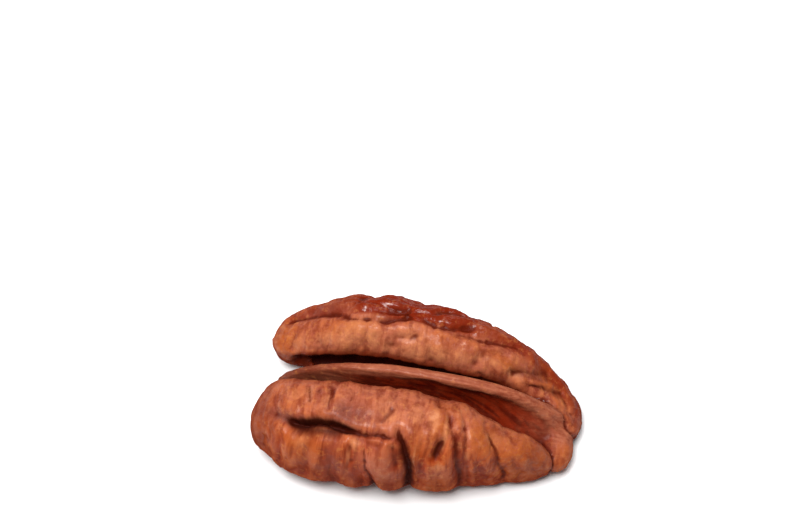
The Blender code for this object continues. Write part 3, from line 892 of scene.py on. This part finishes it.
# %% Node helpers
class Recipe:
    """Adds nodes to one tree and wires them."""

    def __init__(self, tree):
        self.tree = tree

    def node(self, kind, **settings):
        """Add a node with these settings."""
        made = self.tree.nodes.new(kind)
        for name, value in settings.items():
            setattr(made, name, value)
        return made

    def feed(self, value, socket):
        """Wire a socket, or set it, if the value is plain."""
        if isinstance(value, bpy.types.NodeSocket):
            self.tree.links.new(value, socket)
        else:
            socket.default_value = value

    def attribute(self, name, output="Fac"):
        """Read one of the skin's attributes."""
        return self.node("ShaderNodeAttribute", attribute_name=name).outputs[output]

    def math(self, operation, first, second=0.0, clamp=False):
        """One sum of two values."""
        made = self.node("ShaderNodeMath", operation=operation, use_clamp=clamp)
        self.feed(first, made.inputs[0])
        self.feed(second, made.inputs[1])
        return made.outputs[0]

    def scaled(self, vector, factors):
        """Stretch a position before a pattern reads it."""
        made = self.node("ShaderNodeMapping", vector_type="POINT")
        self.feed(vector, made.inputs["Vector"])
        made.inputs["Scale"].default_value = factors
        return made.outputs["Vector"]

    def clouds(self, vector, scale, detail=3.0, roughness=0.55, distortion=0.0):
        """Cloudy noise, about 0 to 1."""
        made = self.node("ShaderNodeTexNoise")
        self.feed(vector, made.inputs["Vector"])
        made.inputs["Scale"].default_value = scale
        made.inputs["Detail"].default_value = detail
        made.inputs["Roughness"].default_value = roughness
        made.inputs["Distortion"].default_value = distortion
        return made.outputs["Fac"]

    def span(self, value, low, high, to_low=0.0, to_high=1.0):
        """A soft step from to_low, where the value is low, to to_high, where it is high."""
        made = self.node("ShaderNodeMapRange", interpolation_type="SMOOTHSTEP")
        self.feed(value, made.inputs["Value"])
        made.inputs["From Min"].default_value = low
        made.inputs["From Max"].default_value = high
        made.inputs["To Min"].default_value = to_low
        made.inputs["To Max"].default_value = to_high
        return made.outputs["Result"]

    def blend(self, amount, under, over, mode="MIX"):
        """Lay one colour over another."""
        made = self.node("ShaderNodeMix", data_type="RGBA", blend_type=mode)
        self.feed(amount, made.inputs["Factor"])
        self.feed(under, made.inputs["A"])
        self.feed(over, made.inputs["B"])
        return made.outputs["Result"]

    def without(self, mask):
        """The mask turned round, 1 where it was 0."""
        return self.math("SUBTRACT", 1.0, mask)

    def dyed(self, skin, mask, strength, dye):
        """Lay a dye over the skin where the mask is."""
        return self.blend(self.math("MULTIPLY", mask, strength), skin, dye)


def colour(red, green, blue):
    """A colour in linear light, with its alpha."""
    return (red, green, blue, 1.0)


print("node helpers ready")

# %% [markdown]
# ## Skin mottle, a node group
#
# Seed skin is mottled in clouds of one to three millimetres, streaked the way it wrinkles, and
# speckled at the scale of its cells. One more cloud pattern marks where the rolls get a pale
# painted sheen. These patterns are built once as a group with named sockets, and the material
# mixes them in its own amounts.

# %% The mottle group
def skin_mottle_group():
    """Clouds, streaks and specks from a position and from the skin's own flow."""
    group = bpy.data.node_groups.new("skin mottle", "ShaderNodeTree")
    for name in ("Position", "Flow"):
        group.interface.new_socket(name, in_out="INPUT", socket_type="NodeSocketVector")
    for name in ("Clouds", "Streaks", "Specks", "Grain", "Roll Sheen"):
        group.interface.new_socket(name, in_out="OUTPUT", socket_type="NodeSocketFloat")
    made = Recipe(group)
    inside = made.node("NodeGroupInput").outputs
    outside = made.node("NodeGroupOutput").inputs
    millimetres = made.scaled(inside["Position"], (1000, 1000, 1000))
    streak_flow = made.scaled(inside["Flow"], (1.0, 0.22, 1.0))
    roll_sheen_flow = made.scaled(inside["Flow"], (1.0, 0.7, 1.0))
    cloud = made.clouds(millimetres, 0.62, 3.0, 0.5, 0.5)
    streak = made.clouds(streak_flow, 1.3, 4.0, 0.6, 0.6)
    specks = made.clouds(millimetres, 1.5, 6.0, 0.72)
    grain = made.clouds(millimetres, 5.0, 4.0, 0.6)
    roll_sheen = made.clouds(roll_sheen_flow, 1.7, 5.0, 0.65, 1.2)
    made.feed(made.span(cloud, 0.36, 0.64), outside["Clouds"])
    made.feed(made.span(streak, 0.34, 0.66), outside["Streaks"])
    made.feed(made.span(specks, 0.28, 0.72), outside["Specks"])
    made.feed(grain, outside["Grain"])
    made.feed(made.span(roll_sheen, 0.46, 0.66), outside["Roll Sheen"])
    return group


mottle = skin_mottle_group()
print("mottle outputs:", [item.name for item in mottle.interface.items_tree
                          if item.in_out == "OUTPUT"])

# %% [markdown]
# ## The ground of the skin
#
# The colour is laid on as a dyer would, one dye after another, and each dye is a short function.
# The ground comes first: red-brown in clouds and streaks, a redder dye on the flanks, which
# leaves the rolls paler and pinker as part painted sheen, painted shade where the flanks turn
# under, and orange where the skin stands proud of the skin around it.
# Colours are in linear light, so they look darker as numbers than they do on the nut.

# %% Lay the ground
def ground_with_painted_shading(made, clouds, streaks):
    """The red-brown ground, redder on the flanks, with painted shade where they turn under and the
    rolls paler as painted sheen, and orange on the proud rolls.
    """
    mixed = made.span(made.math("ADD", clouds, streaks), 0.35, 1.65)
    ground = made.blend(mixed, colour(0.195, 0.035, 0.016), colour(0.37, 0.103, 0.047))
    # the flanks are redder, partly their own colour, partly because the rolls stay paler as painted
    # sheen
    flank = made.blend(streaks, colour(0.15, 0.014, 0.003), colour(0.31, 0.040, 0.006))
    skin = made.dyed(ground, made.attribute("on_flank"), 0.88, flank)
    # painted shade: darker where the flanks turn under towards the table
    under = made.span(streaks, 0.0, 1.0, 0.75, 0.55)
    under = made.math("MULTIPLY", made.attribute("low_flank"), under)
    skin = made.blend(under, skin, colour(0.17, 0.022, 0.008))
    proud = made.span(made.attribute("broad_hollow"), 0.50, 0.28)
    proud = made.math("MULTIPLY", proud, made.span(streaks, 0.0, 1.0, 0.3, 1.0))
    return made.dyed(skin, proud, 0.5, colour(0.47, 0.130, 0.040))


print("ground with painted shading ready")

# %% [markdown]
# ## The patches and the ridge
#
# The patches go over the ground, with their edges broken by the same clouds and streaks, so that
# they look grown and not painted. The ridge has a paler skin of its own with fine lengthwise
# lines, its torn slope is dark red and darkened further as painted shade, and its thin end is
# darkened as painted shade.

# %% Lay the patches and the ridge
# the pink dye is partly painted sheen, the light dye mostly painted highlights
# attribute, strength, dye
PATCH_DYES_AND_GLINTS = [
    ("orange_patch", 0.78, colour(0.35, 0.085, 0.017)),
    ("pink_and_sheen_patch", 0.70, colour(0.44, 0.138, 0.074)),
    ("dull_patch", 0.88, colour(0.168, 0.047, 0.032)),
    ("glint_and_pale_patch", 0.65, colour(0.58, 0.235, 0.100))]


def patch_dyes_and_glints(made, skin, clouds, streaks):
    """The orange, pink, dull and light patches, with broken edges."""
    broken = made.span(made.math("ADD", clouds, streaks), 0.2, 1.6, 0.45, 1.15)
    for mask, strength, dye in PATCH_DYES_AND_GLINTS:
        cover = made.math("MULTIPLY", made.attribute(mask), broken, clamp=True)
        skin = made.dyed(skin, cover, strength, dye)
    return skin


def ridge_dyes_and_shade(made, skin, ridge_lines):
    """The lined skin of the ridge, its dark red slope with painted shade, and painted shade on its
    thin end.
    """
    ridge_skin = made.blend(ridge_lines, colour(0.23, 0.054, 0.026), colour(0.36, 0.120, 0.064))
    slanting = made.span(made.attribute("slope_lines"), 0.34, 0.66)
    # the slope's dark red is partly its own colour and partly painted shade, where the near lobe
    # shades it
    slope_red_and_shade = made.blend(slanting, colour(0.075, 0.002, 0.000), colour(0.18, 0.012, 0.001))
    ridge_skin = made.blend(made.attribute("on_slope"), ridge_skin, slope_red_and_shade)
    skin = made.dyed(skin, made.attribute("on_ridge"), 0.9, ridge_skin)
    # painted shade on the thin end of the ridge, which sits deep between the lobes
    return made.dyed(skin, made.attribute("ridge_tip_shade"), 0.7, colour(0.10, 0.016, 0.006))


print("patch dyes and glints:", len(PATCH_DYES_AND_GLINTS))

# %% [markdown]
# ## Painted sheen, specks and painted shade
#
# A pale pinkish tint on the rolls is painted sheen, the far lobe's back is a deep red, and specks
# go over all of it. The painted shade comes last, because it covers every other colour. Each fold
# shade reads one attribute and starts where that attribute passes its first number, so shallow
# valleys turn brown, narrow folds turn darker, and the long creases turn nearly black.

# %% Lay the painted sheen and the painted shade
# attribute, strength, colour of the painted shade
SHADED_SIDES = [
    ("inner_side", 0.6, colour(0.15, 0.018, 0.004)),
    ("foot", 0.6, colour(0.13, 0.014, 0.004))]
DEEP_CREASE = (0.16, 0.50)
# attribute, where the painted shade starts and is full, strength, colour
PAINTED_FOLD_SHADE = [
    ("broad_hollow", (0.53, 0.82), 0.60, colour(0.11, 0.011, 0.003)),
    ("fine_hollow", (0.58, 0.90), 0.85, colour(0.08, 0.007, 0.002)),
    ("crease_depth", DEEP_CREASE, 0.94, colour(0.030, 0.003, 0.001))]
PAINTED_GROOVE_SHADE = [
    ("channel", (0.0, 0.5), 0.70, colour(0.13, 0.012, 0.003)),
    ("channel", (0.45, 1.0), 0.95, colour(0.110, 0.012, 0.003)),
    ("deep_groove", (0.26, 0.60), 0.92, colour(0.03, 0.002, 0.001))]


def surface_dyes_and_sheen(made, skin, specks, roll_sheen):
    """The painted sheen on the rolls, the red back of the far lobe, and the specks."""
    # painted sheen: a pale pinkish tint on the rolls, kept off the flanks and the ridge
    for bare in ("on_flank", "on_ridge"):
        roll_sheen = made.math("MULTIPLY", roll_sheen, made.without(made.attribute(bare)))
    skin = made.dyed(skin, roll_sheen, 0.42, colour(0.34, 0.095, 0.062))
    skin = made.dyed(skin, made.attribute("far_back"), 0.92, colour(0.17, 0.013, 0.002))
    flat_specks = made.math("ADD", made.math("MULTIPLY", specks, 0.4), 0.3)
    patchy = made.blend(made.attribute("on_flank"), specks, flat_specks)
    tone = made.blend(patchy, colour(0.80, 0.69, 0.65), colour(1.00, 0.96, 0.96))
    skin = made.blend(1.0, skin, tone, "MULTIPLY")
    off_slope = made.without(made.attribute("on_slope"))
    fleck = made.math("MULTIPLY", made.span(specks, 0.62, 0.95), off_slope)
    return made.dyed(skin, fleck, 0.22, colour(0.52, 0.19, 0.05))


def paint_fold_shade(made, skin):
    """Painted shade on the inner sides and the foot, in the folds, the seams and the grooves."""
    for mask, strength, dye in SHADED_SIDES:
        skin = made.dyed(skin, made.attribute(mask), strength, dye)
    for mask, reach, strength, dye in PAINTED_FOLD_SHADE:
        skin = made.dyed(skin, made.span(made.attribute(mask), *reach), strength, dye)
    # painted shade along the seam where a lobe meets the ridge
    skin = made.dyed(skin, made.attribute("seam"), 0.75, colour(0.060, 0.006, 0.002))
    for mask, reach, strength, dye in PAINTED_GROOVE_SHADE:
        skin = made.dyed(skin, made.span(made.attribute(mask), *reach), strength, dye)
    return skin


print("painted fold shades:", len(PAINTED_FOLD_SHADE) + len(PAINTED_GROOVE_SHADE))

# %% [markdown]
# ## Gloss and grain
#
# The skin is a little oily. Rubbed rolls and the puckered back shine in small broken spots,
# hollows and the slope are matt, and the oil is a thin coat over a rougher skin. Where the skin
# turns away from the eye it is made rougher, or a pale rim would run round the whole nut. Bump
# carries only what is too small for the mesh: specks, grain, and the lines on the ridge.

# %% Set the gloss and the bump
# attribute, how much rougher the skin is there
ROUGHER = [("on_ridge", 0.14), ("low_flank", 0.30), ("puckered", -0.14)]


def skin_gloss(made, shader, streaks, specks, grain):
    """The roughness of the skin, and the broken coat of oil on it."""
    grainy = made.math("ADD", specks, made.math("MULTIPLY", grain, 0.6))
    rough = made.span(grainy, 0.3, 1.3, 0.26, 0.42)
    for mask, more in ROUGHER:
        rough = made.math("ADD", rough, made.math("MULTIPLY", made.attribute(mask), more))
    deep = made.span(made.attribute("crease_depth"), *DEEP_CREASE)
    rough = made.math("ADD", rough, made.math("MULTIPLY", deep, 0.2))
    turned_away = made.node("ShaderNodeLayerWeight").outputs["Facing"]
    rough = made.math("ADD", rough, made.span(turned_away, 0.45, 0.80, 0.0, 0.7), clamp=True)
    made.feed(rough, shader.inputs["Roughness"])

    oily = made.span(made.attribute("fine_hollow"), 0.56, 0.75)
    oily = made.math("MULTIPLY", oily, made.without(made.attribute("low_flank")))
    more_on_flank = made.math("ADD", made.math("MULTIPLY", made.attribute("on_flank"), 0.3), 0.12)
    oily = made.math("MULTIPLY", oily, more_on_flank)
    sheen = made.math("ADD", made.math("MULTIPLY", made.attribute("puckered"), 0.26), oily)
    sheen = made.math("ADD", sheen, 0.12)
    sheen = made.math("MULTIPLY", sheen, made.span(specks, 0.2, 0.9, 0.3, 1.8))
    creased = made.span(made.attribute("crease_depth"), 0.05, 0.22)
    dry = made.math("ADD", creased, made.attribute("on_slope"))
    dry = made.math("ADD", dry, made.attribute("channel"), clamp=True)
    sheen = made.math("MULTIPLY", sheen, made.without(dry))
    sheen = made.math("MULTIPLY", sheen, made.span(streaks, 0.1, 0.9, 0.4, 1.3), clamp=True)
    sheen = made.math("MULTIPLY", sheen, made.span(turned_away, 0.75, 0.30))
    made.feed(sheen, shader.inputs["Coat Weight"])


def skin_bump(made, shader, streaks, specks, grain, ridge_lines):
    """The grain of the skin, which is too fine for the mesh."""
    on_ridge = made.attribute("on_ridge")
    height = made.math("ADD", made.math("MULTIPLY", specks, 0.5), made.math("MULTIPLY", grain, 0.5))
    streaked = made.math("MULTIPLY", made.math("MULTIPLY", streaks, 0.5), made.without(on_ridge))
    lined = made.math("MULTIPLY", made.math("MULTIPLY", ridge_lines, on_ridge), 0.6)
    height = made.math("ADD", made.math("ADD", height, streaked), lined)
    bump = made.node("ShaderNodeBump")
    bump.inputs["Strength"].default_value = 0.35
    bump.inputs["Distance"].default_value = 0.00007
    made.feed(height, bump.inputs["Height"])
    made.feed(bump.outputs["Normal"], shader.inputs["Normal"])


print("gloss and bump ready")

# %% [markdown]
# ## The skin material
#
# Now the dyes, the painted sheen and shade, the gloss and the bump come together in one material.
# A little light is let into the skin, as in any seed, but only a little, because the kernel behind
# it is dense. The plain mirror part of the skin is nearly off, and the shine comes from the coat of
# oil.

# %% Build the skin material
def kernel_skin_material():
    """The wrinkled brown seed skin."""
    material = bpy.data.materials.new("kernel_skin_finish")
    material.use_nodes = True
    made = Recipe(material.node_tree)
    shader = material.node_tree.nodes["Principled BSDF"]
    place_on_nut = made.node("ShaderNodeTexCoord").outputs["Object"]
    pattern = made.node("ShaderNodeGroup", node_tree=mottle)
    made.feed(place_on_nut, pattern.inputs["Position"])
    made.feed(made.attribute("skin_flow", "Vector"), pattern.inputs["Flow"])
    clouds, streaks, specks, grain, roll_sheen = (
        pattern.outputs[name] for name in ("Clouds", "Streaks", "Specks", "Grain", "Roll Sheen"))
    ridge_flow = made.scaled(place_on_nut, (300, 3600, 3000))
    ridge_lines = made.span(made.clouds(ridge_flow, 1.0, 4.0, 0.6), 0.3, 0.7)

    skin = ground_with_painted_shading(made, clouds, streaks)
    skin = patch_dyes_and_glints(made, skin, clouds, streaks)
    skin = ridge_dyes_and_shade(made, skin, ridge_lines)
    skin = surface_dyes_and_sheen(made, skin, specks, roll_sheen)
    skin = paint_fold_shade(made, skin)
    made.feed(skin, shader.inputs["Base Color"])
    skin_gloss(made, shader, streaks, specks, grain)
    skin_bump(made, shader, streaks, specks, grain, ridge_lines)

    shader.inputs["Coat Roughness"].default_value = 0.21
    shader.inputs["Specular IOR Level"].default_value = 0.05
    shader.inputs["Subsurface Weight"].default_value = 0.03
    shader.inputs["Subsurface Radius"].default_value = (0.0012, 0.0004, 0.0002)
    shader.inputs["Subsurface Scale"].default_value = 1.0
    return material


kernel.data.materials.clear()
kernel.data.materials.append(kernel_skin_material())
print("skin material nodes:", len(kernel.data.materials[0].node_tree.nodes))

# %% [markdown]
# ## The table
#
# The nut lies on a plain pale table top. It is one large flat square, so that its edge is never
# in view, with a faint cloudy tint, because no real table is one flat colour.

# %% Set the table
TABLE_HALF_SIDE = 1.5   # metres


def pale_floor():
    """A plain pale table top under the nut."""
    board = bmesh.new()
    bmesh.ops.create_grid(board, x_segments=1, y_segments=1, size=TABLE_HALF_SIDE)
    mesh = bpy.data.meshes.new("table_top")
    board.to_mesh(mesh)
    board.free()
    table_top = bpy.data.objects.new("table_top", mesh)
    bpy.context.scene.collection.objects.link(table_top)
    material = bpy.data.materials.new("pale_table")
    material.use_nodes = True
    made = Recipe(material.node_tree)
    shader = material.node_tree.nodes["Principled BSDF"]
    place_on_table = made.node("ShaderNodeTexCoord").outputs["Object"]
    tint = made.span(made.clouds(place_on_table, 9.0), 0.3, 0.7)
    made.feed(made.blend(tint, colour(0.87, 0.87, 0.875), colour(0.89, 0.89, 0.89)),
              shader.inputs["Base Color"])
    shader.inputs["Roughness"].default_value = 0.9
    shader.inputs["Specular IOR Level"].default_value = 0.1
    mesh.materials.append(material)
    return table_top


pale_floor()
print("table laid")

# %% [markdown]
# ## The light
#
# A wide soft lamp hangs over the nut, a little to the left and in front, so that the tops of
# the rolls catch a broad sheen and the grooves stay dark. A weak lamp behind keeps the back of
# the far lobe readable. The room gives a low, even light, which fills the shadow on the table.

# %% Light the nut
ROOM_LIGHT = 0.18


def soft_lamp(name, place, size, power, aim=(0, 0, 0.004)):
    """A square soft lamp that faces the nut."""
    light = bpy.data.lights.new(name, "AREA")
    light.size = size
    light.energy = power
    lamp = bpy.data.objects.new(name, light)
    bpy.context.scene.collection.objects.link(lamp)
    lamp.location = place
    lamp.rotation_euler = (Vector(place) - Vector(aim)).to_track_quat("Z", "Y").to_euler()
    return lamp


soft_lamp("key lamp", (-0.08, -0.05, 0.40), 0.24, 2.9)
soft_lamp("rear lamp", (0.06, 0.24, 0.36), 0.16, 0.35)
world = bpy.data.worlds.new("room")
bpy.context.scene.world = world
world.use_nodes = True
world.node_tree.nodes["Background"].inputs["Color"].default_value = colour(1.0, 1.0, 1.0)
world.node_tree.nodes["Background"].inputs["Strength"].default_value = ROOM_LIGHT
bpy.context.scene.view_settings.view_transform = "Standard"

# %% [markdown]
# ## The camera
#
# The camera looks down at sixty degrees, turned a little from straight across the kernel, and a
# long lens keeps the near lobe from looking larger than the far one. Its distance follows from
# how wide a strip of table should fill the frame. It is aimed from the foot of the ridge, which
# is the middle of the nut as a maker sees it, and then set off to one side.

# %% Place the camera
AZIMUTH = math.radians(9.5)
ELEVATION = math.radians(60)
FRAME_WIDTH = 0.0790   # metres of table
LENS = 100.0           # mm
SENSOR = 36.0          # mm
NUT_RIGHT_BY = 0.00168
NUT_UP_BY = -0.01446


def camera_over(target, right_by, up_by):
    """A camera that looks down at the target, which lies right_by and up_by off the middle."""
    lens = bpy.data.cameras.new("camera")
    lens.lens = LENS
    lens.sensor_width = SENSOR
    lens.clip_start = 0.01
    lens.clip_end = 10
    view = bpy.data.objects.new("camera", lens)
    bpy.context.scene.collection.objects.link(view)
    back = Vector((math.sin(AZIMUTH) * math.cos(ELEVATION),
                   -math.cos(AZIMUTH) * math.cos(ELEVATION), math.sin(ELEVATION)))
    right = Vector((math.cos(AZIMUTH), math.sin(AZIMUTH), 0))
    up = back.cross(right)
    aim = Vector(target) - right * right_by - up * up_by
    view.location = aim + back * (FRAME_WIDTH * LENS / SENSOR)
    view.rotation_euler = back.to_track_quat("Z", "Y").to_euler()
    return view


ridge_foot = (-form_middle[0], -form_middle[1], 0)
bpy.context.scene.camera = camera_over(ridge_foot, NUT_RIGHT_BY, NUT_UP_BY)
print("camera height in mm:", round(bpy.context.scene.camera.location.z * 1000))
